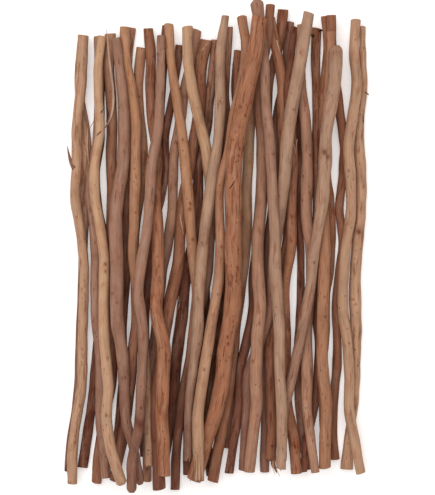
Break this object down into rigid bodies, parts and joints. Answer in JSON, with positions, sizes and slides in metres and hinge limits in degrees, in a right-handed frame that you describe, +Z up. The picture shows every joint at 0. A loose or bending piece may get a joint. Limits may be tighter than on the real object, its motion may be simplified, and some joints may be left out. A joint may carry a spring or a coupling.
{
  "type": "bundle of twigs",
  "caption": "Loose flat bundle of long dry peeled twigs, lying side by side and across each other, to rest on a surface as decoration or set dressing.",
  "frame": {"origin": "on the surface that the bundle lies on, under the middle of its outline", "axes": "+Y along the twigs, +X across them to the right, +Z up from the surface"},
  "size_m": [0.4092, 0.654, 0.0806],
  "materials": {
    "pale_tan": "dry peeled wood, pale and clean, matt",
    "grey_tan": "dry peeled wood, weathered to a grey tan, matt",
    "pink_brown": "dry wood with a thin pinkish inner bark, matt",
    "brown": "dry wood with brown inner bark, matt",
    "red_brown": "dry wood with reddish bark left on, matt",
    "dark_brown": "dry wood with dark bark left on, matt"
  },
  "bodies": {
    "root": {"twig_01_dark_brown": "dark_brown", "twig_02_brown": "brown", "twig_03_pink_brown": "pink_brown", "twig_04_dark_brown": "dark_brown", "twig_05_pale_tan": "pale_tan", "twig_06_brown": "brown", "twig_07_grey_tan": "grey_tan", "twig_08_pale_tan": "pale_tan", "twig_09_dark_brown": "dark_brown", "twig_10_brown": "brown", "twig_11_red_brown": "red_brown", "twig_12_grey_tan": "grey_tan", "twig_13_dark_brown": "dark_brown", "twig_14_pale_tan": "pale_tan", "twig_15_red_brown": "red_brown", "twig_16_pale_tan": "pale_tan", "twig_17_pink_brown": "pink_brown", "twig_18_brown": "brown", "twig_19_dark_brown": "dark_brown", "twig_20_dark_brown": "dark_brown", "twig_21_grey_tan": "grey_tan", "twig_22_dark_brown": "dark_brown", "twig_23_dark_brown": "dark_brown", "twig_24_pale_tan": "pale_tan", "twig_25_grey_tan": "grey_tan", "twig_26_red_brown": "red_brown", "twig_27_pale_tan": "pale_tan", "twig_28_pink_brown": "pink_brown", "twig_29_red_brown": "red_brown", "twig_30_red_brown": "red_brown", "twig_31_grey_tan": "grey_tan", "twig_32_red_brown": "red_brown", "twig_33_pink_brown": "pink_brown", "twig_34_dark_brown": "dark_brown", "twig_35_grey_tan": "grey_tan", "twig_36_red_brown": "red_brown", "twig_37_red_brown": "red_brown", "twig_38_brown": "brown", "twig_39_pink_brown": "pink_brown", "twig_40_pink_brown": "pink_brown", "twig_41_pale_tan": "pale_tan", "twig_42_brown": "brown"}
  },
  "joints": []
}
